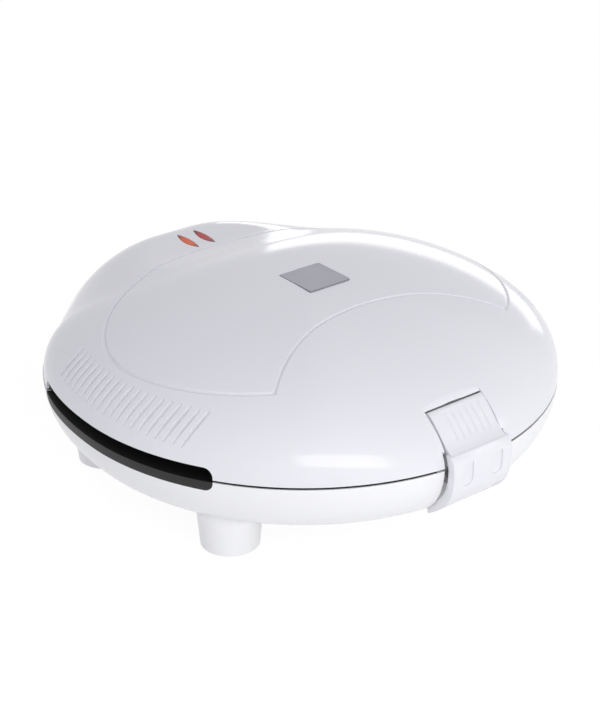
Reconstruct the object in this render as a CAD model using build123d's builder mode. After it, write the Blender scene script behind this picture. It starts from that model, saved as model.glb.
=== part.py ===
from build123d import *
import math
import os

os.makedirs("parts", exist_ok=True)

# Driving dimensions, in millimetres
# The origin is on the table under the middle of the appliance, -Y is the latch and +Y the hinge
seam_height = 49.0
seam_gap = 1.2
rim_radius = 126.0
shell_wall = 2.6
dome_rise = 48.0
dome_power = 0.427
free_angle = -62.0
fit_gap = 0.3

# Rear deck of the lid, over the hinge
deck_half_width = 76.0
deck_reach = 130.0
deck_rise = 36.0
deck_corner = 45.0
deck_edge = 25.0

# Vents that are cut into the lid
vent_count = 20
vent_first = 63.0
vent_last = 109.0
vent_inner = 110.5
vent_outer = 123.4
vent_width = 1.3

# Badge and signal lamps
badge_side = 24.5
badge_y = -8.5
badge_thickness = 1.0
badge_corner = 1.5
lamp_x = 5.2
lamp_y = 91.0
lamp_length = 20.0
lamp_width = 4.8
lens_lip = 1.2
neon_radius = 2.2
neon_length = 12.0
holder_width = 22.0
holder_length = 24.0
holder_height = 7.0
holder_floor = 1.4

# Base bowl and legs
bowl_flat_radius = 104.0
bowl_depth = 29.0
leg_x = 84.0
leg_y = 51.0
leg_top_radius = 16.5
leg_foot_radius = 14.0
leg_wall = 2.3
leg_height = 29.0
pad_radius = 9.5
pad_thickness = 3.0
pad_seat = 1.6
pad_chamfer = 0.8

# Finger grips at the two sides, angles counted from the latch
grip_start = 57.0
grip_end = 114.0
grip_up = 5.5
grip_down = 5.5
grip_reach = 14.0
grip_wall = 2.0
grip_corner = 4.5
grip_side_angle = 1.2

# Hinge at the rear
hinge_y = 118.0
hinge_lift = 3.0
barrel_radius = 7.0
barrel_half = 37.7
ear_inner = 38.0
ear_thickness = 6.0
ear_radius = 6.5
ear_under = 4.5
ear_slope = 20.0
hinge_pin_radius = 2.5
hinge_pin_length = 22.0
sleeve_radius = 2.2
sleeve_half = 20.0
running_gap = 0.05
opening_angle = 100.0
trough_gap = 1.2
trough_half = 64.0
trough_wall = 2.4
web_thickness = 3.0

# Latch at the front: a rocker whose pad is pressed and whose hook holds the base
latch_pivot_y = -117.5
latch_pivot_up = 5.5
latch_pin_radius = 1.5
latch_pin_half = 20.0
latch_boss_radius = 3.4
pad_half = 16.4
hook_half = 17.8
latch_side_gap = 0.8
housing_wall = 3.8
pad_groove_count = 6
pad_groove_pitch = 3.95
pad_groove_first = -8.4
pad_groove_radius = 0.7
pad_groove_length = 14.0
pad_middle_y = -119.6
pad_middle_up = 10.9
pad_slope = (0, 8.0, 9.1)
coil_inner = 1.7
coil_outer = 2.7
coil_half = 5.2
catch_half = 12.0
nose_half = 11.5
recess_y = -112.2
recess_wall = 2.4
recess_length = 40.0
catch_y = -116.0

# Cooking plates
plate_radius = 103.0
plate_half_depth = 58.0
plate_slab = 3.0
plate_rim = 3.0
plate_lip = 2.2
plate_lip_thickness = 1.9
plate_gap = 0.8
pocket_depth = 9.0
pocket_wall = 2.2
pocket_taper = 18.0
pocket_corner = 7.0
bread_width = 84.0
bread_depth = 94.0
bread_x = 45.0
cut_ridge = 5.0
boss_radius = 3.5
boss_side_x = 96.0
boss_end_y = 52.5
clamp_x = 45.0
clamp_boss_y = 39.0

# Frame rings round the plates
ring_thickness = 2.4
ring_step = 0.6
ring_gap = 0.5
ring_edge_radius = 109.4
ring_rear = 92.5
ring_front = -109.2
ring_notch_half = 21.6
ring_screw_x = 57.0
ring_screw_y = 78.0
screw_radius = 1.25
screw_head_radius = 2.8
screw_head_height = 1.4
screw_length = 7.0
screw_slot = 0.9
clamp_screw_length = 5.0
post_radius = 4.0

# Heaters and what clamps them
heater_radius = 3.2
heater_x = 70.0
heater_y = 30.0
heater_bend = 11.0
heater_end_x = 12.0
heater_end_y = 44.0
terminal_radius = 1.2
terminal_length = 6.0
clamp_width = 10.0
clamp_length = 90.0
clamp_thickness = 1.0
reflector_thickness = 0.6
reflector_half_x = 101.0
reflector_half_y = 57.0
reflector_drop = 20.9
reflector_lip = 4.0
reflector_corner = 38.0
prop_x = 60.0
prop_y = 22.0

# Controls and wiring inside the base
thermostat_radius = 8.0
thermostat_height = 5.0
sensor_x = 25.0
fuse_radius = 2.2
fuse_length = 14.0
block_length = 24.0
block_depth = 10.0
block_height = 9.0
block_x = 30.0
block_y = 82.0
gland_drop = 21.0
gland_radius = 5.2
gland_flange = 6.6
gland_flange_thickness = 2.0
gland_bore = 3.6
gland_inner_y = 109.0
spout_radius = 7.6
spout_face = 123.6
lead_radius = 1.4
lead_rise = 1.5

# Levels that follow from the sizes above
lid_bottom = seam_height + seam_gap / 2
base_top = seam_height - seam_gap / 2
bowl_bottom = seam_height - bowl_depth
bowl_floor = bowl_bottom + shell_wall
deck_top = lid_bottom + deck_rise
hinge_z = seam_height + hinge_lift
latch_pivot_z = seam_height + latch_pivot_up
plate_top = seam_height - plate_gap / 2
ring_top = base_top - ring_step
ring_bottom = ring_top - ring_thickness
slab_bottom = plate_top - plate_slab
lip_top = ring_bottom - fit_gap / 3
lip_bottom = lip_top - plate_lip_thickness
bulge_bottom = plate_top - pocket_depth - pocket_wall
heater_z = bulge_bottom - heater_radius - fit_gap / 3
clamp_top = heater_z - heater_radius - fit_gap / 3
reflector_top = seam_height - reflector_drop
reflector_bottom = reflector_top - reflector_thickness
gland_z = seam_height - gland_drop
leg_bottom = pad_thickness - pad_seat
sweep_radius = math.hypot(deck_reach - hinge_y, hinge_z - lid_bottom)
trough_radius = sweep_radius + trough_gap
seam_plane = Plane.XY.offset(seam_height)


def dome_solid(radius, rise, bottom, skirt=0.0):
    """A dome whose outline is close to an ellipse, with an upright edge at its rim."""
    steps = 9
    outline = []
    for step in range(steps + 1):
        angle = math.radians(90 * step / steps)
        up = bottom + rise * max(math.cos(angle), 0) ** (2 * dome_power)
        outline.append((radius * math.sin(angle), up))
    with BuildPart() as dome:
        with BuildSketch(Plane.XZ):
            with BuildLine():
                Spline(*outline, tangents=((1, 0), (0, -1)))
                if skirt > 0:
                    Line((radius, bottom), (radius, bottom - skirt))
                Polyline((radius, bottom - skirt), (0, bottom - skirt), (0, bottom + rise))
            make_face()
        revolve(axis=Axis.Z)
    return dome.part.rotate(Axis.Z, free_angle)


def deck_solid(inset, bottom):
    """The rear deck: a block with rounded rear corners and a rounded upper edge."""
    with BuildPart() as deck:
        with BuildSketch(Plane.XY.offset(bottom)):
            with Locations((0, (deck_reach - inset) / 2)):
                Rectangle(2 * (deck_half_width - inset), deck_reach - inset)
            rear = vertices().group_by(Axis.Y)[-1]
            fillet(rear, deck_corner - inset)
        extrude(amount=deck_top - inset - bottom)
        top = faces().sort_by(Axis.Z)[-1]
        upper = top.edges().sort_by(Axis.Y)[1:]
        fillet(upper, deck_edge - inset)
    return deck.part


def bowl_solid(inset, top):
    """The round bowl of the base: a flat floor and an elliptical side up to the rim."""
    flat = bowl_flat_radius
    radius = rim_radius - inset
    bottom = bowl_bottom + inset
    with BuildPart() as bowl:
        with BuildSketch(Plane.XZ):
            with BuildLine():
                Line((0, bottom), (flat, bottom))
                EllipticalCenterArc((flat, seam_height), radius - flat, seam_height - bottom,
                                    start_angle=-90, arc_size=90)
                Polyline((radius, seam_height), (0, seam_height), (0, bottom))
            make_face()
        revolve(axis=Axis.Z)
        with BuildSketch(Plane.XY.offset(top)):
            Circle(2 * rim_radius)
        extrude(amount=bowl_depth, mode=Mode.SUBTRACT)
    return bowl.part.rotate(Axis.Z, free_angle)


def sector(inner, outer, widen, low, high, side, corner_level=None):
    """A block along a finger grip between two radii, on the left (-1) or right (+1)."""
    start = grip_start - widen
    end = grip_end + widen
    with BuildPart() as block:
        with BuildSketch(Plane.XZ):
            with Locations(((inner + outer) / 2, (low + high) / 2)):
                Rectangle(outer - inner, high - low)
        revolve(axis=Axis.Z, revolution_arc=end - start)
        if corner_level is not None:
            ends = edges().filter_by(GeomType.LINE)
            ends = ends.filter_by(lambda edge: abs(edge.center().Z - corner_level) < fit_gap)
            fillet(ends, grip_corner)
    return block.part.rotate(Axis.Z, (start if side > 0 else -end) - 90)


def front_shape(points, half_width):
    """A side outline, as Y and the height over the seam, drawn out evenly to both sides."""
    with BuildPart() as block:
        with BuildSketch(Plane.YZ):
            with BuildLine():
                Polyline(*[(y, seam_height + up) for y, up in points], close=True)
            make_face()
        extrude(amount=half_width, both=True)
    return block.part


def hinge_shape(points, half_width):
    """A side outline counted from the hinge axis, drawn out evenly to both sides."""
    with BuildPart() as block:
        with BuildSketch(Plane.YZ):
            with BuildLine():
                Polyline(*[(hinge_y + y, hinge_z + z) for y, z in points], close=True)
            make_face()
        extrude(amount=half_width, both=True)
    return block.part


def crossbar(y, z, radius, half_width):
    """A round bar from side to side."""
    with BuildPart() as bar:
        with BuildSketch(Plane.YZ):
            with Locations((y, z)):
                Circle(radius)
        extrude(amount=half_width, both=True)
    return bar.part


def posts(places, radius, low, high):
    """Upright round posts, or the tools that bore holes."""
    with BuildPart() as group:
        with BuildSketch(Plane.XY.offset(low)):
            with Locations(*places):
                Circle(radius)
        extrude(amount=high - low)
    return group.part


def slab(x_size, y_size, y, low, high):
    """An upright block centred in X."""
    with BuildPart() as block:
        with BuildSketch(Plane.XY.offset(low)):
            with Locations((0, y)):
                Rectangle(x_size, y_size)
        extrude(amount=high - low)
    return block.part


def plate_block(grow, low, high):
    """The outline of a cooking plate: a circle whose front and rear are cut straight."""
    with BuildPart() as block:
        with BuildSketch(Plane.XY.offset(low)):
            Circle(plate_radius + grow)
            Rectangle(2 * (plate_radius + grow), 2 * (plate_half_depth + grow), mode=Mode.INTERSECT)
        extrude(amount=high - low)
    return block.part


def pocket_block(grow, level, depth):
    """Four tapered triangles: each square slice is cut from corner to corner by a ridge."""
    with BuildPart() as block:
        with BuildSketch(Plane.XY.offset(level)):
            for side in (-1, 1):
                turn = math.degrees(math.atan2(bread_depth, bread_width))
                with BuildSketch(mode=Mode.PRIVATE) as slice_area:
                    Rectangle(bread_width + 2 * grow, bread_depth + 2 * grow)
                    Rectangle(2 * bread_depth, cut_ridge - 2 * grow, rotation=side * turn, mode=Mode.SUBTRACT)
                    fillet(vertices(), pocket_corner + grow)
                add(slice_area.sketch.moved(Location((side * bread_x, 0, level))))
        extrude(amount=-depth, taper=pocket_taper)
    return block.part


def pointed_oval(side, grow, low, high):
    """The pointed outline of one signal lamp."""
    x = side * lamp_x
    half_length = lamp_length / 2 + grow
    half_width = lamp_width / 2 + grow
    with BuildPart() as oval:
        with BuildSketch(Plane.XY.offset(low)):
            with BuildLine():
                ThreePointArc((x, lamp_y - half_length), (x + half_width, lamp_y), (x, lamp_y + half_length))
                ThreePointArc((x, lamp_y + half_length), (x - half_width, lamp_y), (x, lamp_y - half_length))
            make_face()
        extrude(amount=high - low)
    return oval.part


def pan(level):
    """A shallow tray of thin sheet under a cooking plate."""
    with BuildPart() as tray:
        with BuildSketch(Plane.XY.offset(level)):
            RectangleRounded(2 * reflector_half_x, 2 * reflector_half_y, reflector_corner)
        extrude(amount=reflector_thickness + reflector_lip)
        with BuildSketch(Plane.XY.offset(level + reflector_thickness)):
            RectangleRounded(2 * (reflector_half_x - reflector_thickness),
                             2 * (reflector_half_y - reflector_thickness),
                             reflector_corner - reflector_thickness)
        extrude(amount=reflector_lip, mode=Mode.SUBTRACT)
    return tray.part


def screws(places, seat, length, upward):
    """Pan head screws that all point the same way, one solid each."""
    turn = 1 if upward else -1
    with BuildPart() as group:
        with BuildSketch(Plane.XY.offset(seat)):
            with Locations(*places):
                Circle(screw_head_radius)
        extrude(amount=-turn * screw_head_height)
        with BuildSketch(Plane.XY.offset(seat)):
            with Locations(*places):
                Circle(screw_radius)
        extrude(amount=turn * length)
        with BuildSketch(Plane.XY.offset(seat - turn * screw_head_height)):
            with Locations(*places):
                Rectangle(screw_head_radius, screw_slot)
        extrude(amount=turn * screw_head_height / 2, mode=Mode.SUBTRACT)
    return group.part


def lead(end_direction, *points):
    """A round insulated wire through the given points, which leaves its terminal towards the rear."""
    with BuildPart() as wire:
        with BuildLine() as way:
            Spline(*points, tangents=((0, 1, 0), end_direction))
        with BuildSketch(Plane(origin=way.line @ 0, z_dir=way.line % 0)):
            Circle(lead_radius)
        sweep()
    return wire.part


def save(part, name):
    part.label = name
    export_step(part, f"parts/{name}.step")


# Places that pieces share
ring_screw_places = [(x, y) for x in (-ring_screw_x, ring_screw_x) for y in (-ring_screw_y, ring_screw_y)]
prop_places = [(x, y) for x in (-prop_x, prop_x) for y in (-prop_y, prop_y)]
plate_screw_places = [(-boss_side_x, 0), (boss_side_x, 0), (0, -boss_end_y), (0, boss_end_y)]
clamp_places = [(x, y) for x in (-clamp_x, clamp_x) for y in (-clamp_boss_y, clamp_boss_y)]
leg_places = [(x, y) for x in (-leg_x, leg_x) for y in (-leg_y, leg_y)]
pocket_half = pad_half + latch_side_gap
hook_room_half = hook_half + latch_side_gap
housing_half = pocket_half + housing_wall
crown = lid_bottom + dome_rise

# Outer and inner forms of both shells
lid_form = dome_solid(rim_radius, dome_rise, lid_bottom) + deck_solid(0, lid_bottom)
lid_hollow = dome_solid(rim_radius - shell_wall, dome_rise - shell_wall, lid_bottom, 1)
lid_hollow = lid_hollow + deck_solid(shell_wall, lid_bottom - 1)
bowl_form = bowl_solid(0, base_top)
bowl_hollow = bowl_solid(shell_wall, seam_height)

# Vent slots in a fan at each side, each cut along a straight chord of the dome
def dome_level(reach):
    return lid_bottom + dome_rise * (1 - (reach / rim_radius) ** 2) ** dome_power


vent_profile = [(vent_inner, dome_level(vent_inner)), (vent_outer, dome_level(vent_outer)),
                (vent_outer + 10, dome_level(vent_outer) + 10), (vent_inner + 10, dome_level(vent_inner) + 10)]
with BuildPart() as vent_cut:
    with BuildSketch(Plane.XZ):
        with BuildLine():
            Polyline(*vent_profile, close=True)
        make_face()
    extrude(amount=vent_width / 2, both=True)
vent_cuts = []
for index in range(vent_count):
    angle = vent_first + (vent_last - vent_first) * index / (vent_count - 1)
    vent_cuts.append(vent_cut.part.rotate(Axis.Z, angle - 90))
    vent_cuts.append(vent_cut.part.rotate(Axis.Z, -angle - 90))

# Room for the latch in the lid, and the housing round it
lid_pocket = front_shape([(-104.8, 60), (-104.8, 29.8), (-107.2, 23.4), (-104.6, 21.9), (-104.6, 16.0),
                          (-109.5, 8.0), (-113.5, 1.5), (-113.5, -4), (-145, -4), (-145, 60)], pocket_half)
housing = front_shape([(-102.2, 60), (-102.2, 15.2), (-107.8, 6.4), (-111.6, 0.6), (-140, 0.6), (-140, 60)],
                      housing_half)
hook_room = front_shape([(-120.5, -4), (-120.5, 7.8), (-145, 7.8), (-145, -4)], hook_room_half)

# Shell of the lid, with its latch housing, hinge barrel, webs and screw posts
lid_post_level = 2 * seam_height - ring_bottom
lid_prop_level = 2 * seam_height - reflector_bottom
web = hinge_shape([(-6, 0), (-6, deck_rise), (deck_reach - hinge_y, deck_rise), (deck_reach - hinge_y, 0)],
                  web_thickness / 2)
ring_bores = posts(ring_screw_places, screw_radius, lid_post_level, lid_post_level + screw_length)
badge_side_room = badge_side + fit_gap
badge_seat = slab(badge_side_room, badge_side_room, badge_y, crown - badge_thickness, crown + 5)
lid_body = housing + posts(ring_screw_places, post_radius, lid_post_level, crown)
lid_body = lid_body + posts(prop_places, post_radius, lid_prop_level, crown)
for x in (web_thickness / 2 - barrel_half, 0, barrel_half - web_thickness / 2):
    lid_body = lid_body + web.moved(Location((x, 0, 0)))
lid_body = (lid_body & lid_form) + (lid_form - lid_hollow)
lid_body = lid_body + crossbar(hinge_y, hinge_z, barrel_radius, barrel_half)
lid_body = lid_body - crossbar(hinge_y, hinge_z, hinge_pin_radius + running_gap, barrel_half)
lid_body = lid_body - lid_pocket - hook_room - ring_bores - badge_seat - vent_cuts
lid_body = lid_body - crossbar(latch_pivot_y, latch_pivot_z, latch_pin_radius, latch_pin_half)
for side in (-1, 1):
    lid_body = lid_body - pointed_oval(side, 0, deck_top - 6, crown)
    lid_body = lid_body - sector(rim_radius - 2 * grip_reach, rim_radius + 5, 0, lid_bottom - 8,
                                 lid_bottom + grip_up, side, lid_bottom + grip_up)
with BuildPart() as lid_shell:
    add(lid_body, clean=False)
save(lid_shell.part, "lid_shell")

with BuildPart() as badge_plate:
    add(slab(badge_side, badge_side, badge_y, crown - badge_thickness, crown))
    fillet(badge_plate.edges().filter_by(Axis.Z), badge_corner)
save(badge_plate.part, "badge_plate")

# Signal lamps in the deck, flush with it, with a wider lip under the shell
lens_bottom = deck_top - shell_wall - lens_lip
holder_top = lens_bottom - fit_gap / 3
holder_bottom = holder_top - holder_height
with BuildPart() as lamp_lens_amber:
    add(pointed_oval(-1, -fit_gap / 3, lens_bottom, crown))
    add(lid_form, mode=Mode.INTERSECT)
    add(pointed_oval(-1, lens_lip, lens_bottom, lens_bottom + lens_lip))
save(lamp_lens_amber.part, "lamp_lens_amber")

with BuildPart() as lamp_lens_red:
    add(mirror(lamp_lens_amber.part, about=Plane.YZ))
save(lamp_lens_red.part, "lamp_lens_red")

neon_z = holder_bottom + holder_floor + neon_radius
with BuildPart() as lamp_holder:
    add(slab(holder_width, holder_length, lamp_y, holder_bottom, holder_top))
    with BuildSketch(Plane.XY.offset(holder_bottom + holder_floor)):
        with Locations((-lamp_x, lamp_y), (lamp_x, lamp_y)):
            Rectangle(2 * (neon_radius + fit_gap), neon_length + fit_gap)
    extrude(amount=holder_height, mode=Mode.SUBTRACT)
save(lamp_holder.part, "lamp_holder")

with BuildPart() as neon_lamps:
    with BuildSketch(Plane.XZ.offset(-lamp_y)):
        with Locations((-lamp_x, neon_z), (lamp_x, neon_z)):
            Circle(neon_radius)
    extrude(amount=neon_length / 2, both=True)
save(neon_lamps.part, "neon_lamps")

# Dark liners of the finger grips, in the lid and in the base
grip_inner = rim_radius - grip_reach - grip_wall
inner_dome = dome_solid(rim_radius - shell_wall - fit_gap, dome_rise - shell_wall - fit_gap, lid_bottom, 1)
with BuildPart() as upper_grip_left:
    add(sector(grip_inner, rim_radius + 5, grip_side_angle, lid_bottom, lid_bottom + grip_up + grip_wall, -1,
               lid_bottom + grip_up + grip_wall))
    add(inner_dome, mode=Mode.INTERSECT)
    add(sector(grip_inner + grip_wall, rim_radius + 5, 0, lid_bottom - 8, lid_bottom + grip_up, -1,
               lid_bottom + grip_up), mode=Mode.SUBTRACT)
save(upper_grip_left.part, "upper_grip_left")

with BuildPart() as upper_grip_right:
    add(mirror(upper_grip_left.part, about=Plane.YZ))
save(upper_grip_right.part, "upper_grip_right")

with BuildPart() as lower_grip_left:
    add(sector(grip_inner, rim_radius + 5, 0, seam_height - grip_down, base_top, -1, seam_height - grip_down))
    add(bowl_form, mode=Mode.INTERSECT)
save(lower_grip_left.part, "lower_grip_left")

with BuildPart() as lower_grip_right:
    add(mirror(lower_grip_left.part, about=Plane.YZ))
save(lower_grip_right.part, "lower_grip_right")

# Latch: pad above its pin, hook plate with a nose below it
with BuildPart() as latch:
    add(front_shape([(-108.4, 22.4), (-111.6, 20.0), (-115.6, 15.8), (-119.6, 10.9), (-122.4, 8.0),
                     (-124.6, 7.0), (-127.2, 6.8), (-126.8, 0.0), (-121.6, 2.0), (-118.6, 9.0),
                     (-116.2, 12.0), (-112.4, 16.6), (-108.4, 20.0)], pad_half))
    add(front_shape([(-124.6, 7.0), (-127.2, 6.8), (-129.2, 4.4), (-130.0, 0.5), (-130.0, -5.0),
                     (-129.2, -10.0), (-127.2, -15.5), (-123.6, -20.3), (-118.8, -24.6), (-113.6, -28.0),
                     (-112.8, -22.4), (-117.5, -20.0), (-121.5, -16.5), (-124.4, -12.3), (-126.0, -6.0),
                     (-126.0, 0.0)], hook_half))
    add(front_shape([(-127.0, -12.0), (-114.0, -12.0), (-114.0, -8.3), (-127.0, -8.3)], nose_half))
    add(crossbar(latch_pivot_y, latch_pivot_z, latch_boss_radius, pad_half))
    add(front_shape([(-117.2, -13.0), (-117.2, -30.0), (-110.0, -30.0), (-110.0, -13.0)], catch_half + 1.5),
        mode=Mode.SUBTRACT)
    add(crossbar(latch_pivot_y, latch_pivot_z, latch_pin_radius + running_gap, pad_half), mode=Mode.SUBTRACT)
    add(crossbar(latch_pivot_y, latch_pivot_z, coil_outer + fit_gap, coil_half + fit_gap), mode=Mode.SUBTRACT)
    with BuildSketch(Plane(origin=(0, pad_middle_y, seam_height + pad_middle_up), x_dir=(1, 0, 0), z_dir=pad_slope)):
        for index in range(pad_groove_count):
            with Locations((pad_groove_first + pad_groove_pitch * index, 0)):
                Circle(pad_groove_radius)
    extrude(amount=pad_groove_length, mode=Mode.SUBTRACT)
save(latch.part, "latch")

with BuildPart() as latch_pin:
    add(crossbar(latch_pivot_y, latch_pivot_z, latch_pin_radius, latch_pin_half))
save(latch_pin.part, "latch_pin")

with BuildPart() as latch_spring:
    add(crossbar(latch_pivot_y, latch_pivot_z, coil_outer, coil_half))
    add(crossbar(latch_pivot_y, latch_pivot_z, coil_inner, coil_half), mode=Mode.SUBTRACT)
save(latch_spring.part, "latch_spring")

# Shell of the base: bowl, legs, hinge trough with two ears, and the latch recess with its catch bar
back_turn = math.radians(opening_angle)
swing = deck_reach - hinge_y


def swept_room(extra):
    """Where the rear wall of the lid passes while it opens."""
    foot = (swing + extra) * math.cos(back_turn), -(swing + extra) * math.sin(back_turn)
    far = foot[0] + 3 * swing * math.sin(back_turn), foot[1] + 3 * swing * math.cos(back_turn)
    wedge = hinge_shape([(0, swing), (0, 0), foot, far, (far[0], swing)], trough_half + extra - trough_gap)
    return wedge + crossbar(hinge_y, hinge_z, sweep_radius + extra, trough_half + extra - trough_gap)


ear_turn = math.radians(ear_slope)
ear_along = (-math.cos(ear_turn), -math.sin(ear_turn))
ear_reach = trough_radius + trough_wall
ear_below = (ear_under * math.sin(ear_turn), -ear_under * math.cos(ear_turn))
ear_above = (-ear_radius * math.sin(ear_turn), ear_radius * math.cos(ear_turn))
ear = hinge_shape([ear_below, ear_above,
                   (ear_reach * ear_along[0] + ear_above[0], ear_reach * ear_along[1] + ear_above[1]),
                   (ear_reach * ear_along[0] + ear_below[0], ear_reach * ear_along[1] + ear_below[1])],
                  ear_thickness / 2)
ear = ear + crossbar(hinge_y, hinge_z, ear_radius, ear_thickness / 2)
ear = ear - crossbar(hinge_y, hinge_z, hinge_pin_radius, ear_thickness)
ear_x = ear_inner + ear_thickness / 2
with BuildPart() as leg_tools:
    with BuildSketch(Plane.XY.offset(leg_bottom)):
        with Locations(*leg_places):
            Circle(leg_foot_radius)
    taper = -math.degrees(math.atan((leg_top_radius - leg_foot_radius) / leg_height))
    extrude(amount=leg_height, taper=taper)
with BuildPart() as leg_hollows:
    with BuildSketch(Plane.XY.offset(pad_thickness + leg_wall)):
        with Locations(*leg_places):
            Circle(leg_foot_radius - leg_wall)
    extrude(amount=bowl_floor - pad_thickness, taper=taper)
with BuildPart() as base_shell:
    add(bowl_form)
    add(leg_tools.part)
    add(leg_hollows.part, mode=Mode.SUBTRACT)
    add(bowl_hollow, mode=Mode.SUBTRACT)
    add(swept_room(trough_gap + trough_wall) & bowl_form)
    recess_box = slab(2 * (hook_room_half + recess_wall), recess_length, recess_y + recess_wall - recess_length / 2,
                      bowl_bottom, base_top)
    add(recess_box & bowl_form)
    add(posts(ring_screw_places, post_radius, bowl_bottom + 1, ring_bottom))
    add(posts(prop_places, post_radius, bowl_bottom + 1, reflector_bottom))
    with BuildSketch(Plane.XZ.offset(-gland_inner_y)):
        with Locations((0, gland_z)):
            Circle(spout_radius)
    extrude(amount=gland_inner_y - spout_face)
    add(swept_room(trough_gap), mode=Mode.SUBTRACT)
    add(slab(2 * hook_room_half, recess_length, recess_y - recess_length / 2, bowl_bottom - 5, seam_height + 5),
        mode=Mode.SUBTRACT)
    add(front_shape([(recess_y + 1, -8), (recess_y + 1, -4), (catch_y, -4), (catch_y, -8)], catch_half))
    add(ear.moved(Location((-ear_x, 0, 0))))
    add(ear.moved(Location((ear_x, 0, 0))))
    with BuildSketch(Plane.XZ.offset(-gland_inner_y)):
        with Locations((0, gland_z)):
            Circle(gland_radius)
    extrude(amount=gland_inner_y - spout_face, mode=Mode.SUBTRACT)
    add(posts(ring_screw_places, screw_radius, ring_bottom - screw_length, ring_bottom), mode=Mode.SUBTRACT)
    add(posts(leg_places, pad_radius, 0, pad_thickness), mode=Mode.SUBTRACT)
    for side in (-1, 1):
        add(sector(rim_radius - 2 * grip_reach, rim_radius + 5, 0, seam_height - grip_down, seam_height + 8, side,
                   seam_height - grip_down), mode=Mode.SUBTRACT)
save(base_shell.part, "base_shell")

with BuildPart() as foot_pad:
    with BuildSketch(Plane.XY):
        Circle(pad_radius)
    extrude(amount=pad_thickness)
    chamfer(foot_pad.edges().group_by(Axis.Z)[0], pad_chamfer)
for name, place in zip(("front_left", "rear_left", "front_right", "rear_right"), leg_places):
    with BuildPart() as foot_pad_copy:
        add(foot_pad.part.moved(Location((place[0], place[1], 0))))
    save(foot_pad_copy.part, "foot_pad_" + name)

# Hinge pins, pressed into the ears
pin_middle = ear_inner + ear_thickness - hinge_pin_length / 2
with BuildPart() as hinge_pin_left:
    add(crossbar(hinge_y, hinge_z, hinge_pin_radius, hinge_pin_length / 2).moved(Location((-pin_middle, 0, 0))))
save(hinge_pin_left.part, "hinge_pin_left")

with BuildPart() as hinge_pin_right:
    add(mirror(hinge_pin_left.part, about=Plane.YZ))
save(hinge_pin_right.part, "hinge_pin_right")

with BuildPart() as link_lead_sleeve:
    add(crossbar(hinge_y, hinge_z, sleeve_radius, sleeve_half))
save(link_lead_sleeve.part, "link_lead_sleeve")

# Lower cooking plate with four triangular pockets, and the upper one turned over
with BuildPart() as lower_plate:
    add(plate_block(0, slab_bottom, plate_top))
    add(plate_block(plate_lip, lip_bottom, lip_top))
    add(plate_block(0, lip_bottom, plate_top))
    add(plate_block(-plate_rim, lip_bottom, slab_bottom), mode=Mode.SUBTRACT)
    add(pocket_block(pocket_wall, slab_bottom + 1, slab_bottom + 1 - bulge_bottom))
    add(posts(plate_screw_places, boss_radius, reflector_top, slab_bottom + 1))
    add(posts(clamp_places, boss_radius, clamp_top, bulge_bottom + 1))
    add(pocket_block(0, plate_top, pocket_depth), mode=Mode.SUBTRACT)
    add(posts(plate_screw_places, screw_radius, reflector_top, reflector_bottom + screw_length), mode=Mode.SUBTRACT)
    add(posts(clamp_places, screw_radius, clamp_top, clamp_top - clamp_thickness + clamp_screw_length),
        mode=Mode.SUBTRACT)
save(lower_plate.part, "lower_plate")

with BuildPart() as upper_plate:
    add(mirror(lower_plate.part, about=seam_plane))
save(upper_plate.part, "upper_plate")

# Frame rings between each plate and its shell
with BuildPart() as lower_ring:
    with BuildSketch(Plane.XY.offset(ring_bottom)):
        Circle(rim_radius - shell_wall - fit_gap)
        with Locations((0, ring_rear + rim_radius / 2)):
            Rectangle(2 * rim_radius, rim_radius, mode=Mode.SUBTRACT)
        with Locations((0, ring_front - rim_radius / 2)):
            Rectangle(2 * ring_notch_half, rim_radius, mode=Mode.SUBTRACT)
    extrude(amount=ring_thickness)
    add(plate_block(ring_gap, ring_bottom - 1, ring_top + 1), mode=Mode.SUBTRACT)
    for side in (-1, 1):
        add(sector(ring_edge_radius, rim_radius + 5, 2 * grip_side_angle, ring_bottom - 1, ring_top + 1, side),
            mode=Mode.SUBTRACT)
    add(posts(ring_screw_places, screw_head_radius, ring_top - screw_head_height, ring_top + 1), mode=Mode.SUBTRACT)
    add(posts(ring_screw_places, screw_radius, ring_bottom - 1, ring_top + 1), mode=Mode.SUBTRACT)
save(lower_ring.part, "lower_ring")

with BuildPart() as upper_ring:
    add(mirror(lower_ring.part, about=seam_plane))
save(upper_ring.part, "upper_ring")

with BuildPart() as lower_ring_screws:
    add(screws(ring_screw_places, ring_top - screw_head_height, screw_length, False))
save(lower_ring_screws.part, "lower_ring_screws")

with BuildPart() as upper_ring_screws:
    add(mirror(lower_ring_screws.part, about=seam_plane))
save(upper_ring_screws.part, "upper_ring_screws")

# Tubular heater under the lower plate, held by two strips, and the same over the upper plate
with BuildPart() as lower_heater:
    with BuildLine() as loop:
        FilletPolyline((heater_end_x, heater_end_y, heater_z), (heater_end_x, heater_y, heater_z),
                       (heater_x, heater_y, heater_z), (heater_x, -heater_y, heater_z),
                       (-heater_x, -heater_y, heater_z), (-heater_x, heater_y, heater_z),
                       (-heater_end_x, heater_y, heater_z), (-heater_end_x, heater_end_y, heater_z),
                       radius=heater_bend)
    with BuildSketch(Plane(origin=loop.line @ 0, z_dir=loop.line % 0)):
        Circle(heater_radius)
    sweep()
    with BuildSketch(Plane.XZ.offset(-heater_end_y)):
        with Locations((-heater_end_x, heater_z), (heater_end_x, heater_z)):
            Circle(terminal_radius)
    extrude(amount=-terminal_length)
save(lower_heater.part, "lower_heater")

with BuildPart() as upper_heater:
    add(mirror(lower_heater.part, about=seam_plane))
save(upper_heater.part, "upper_heater")

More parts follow.
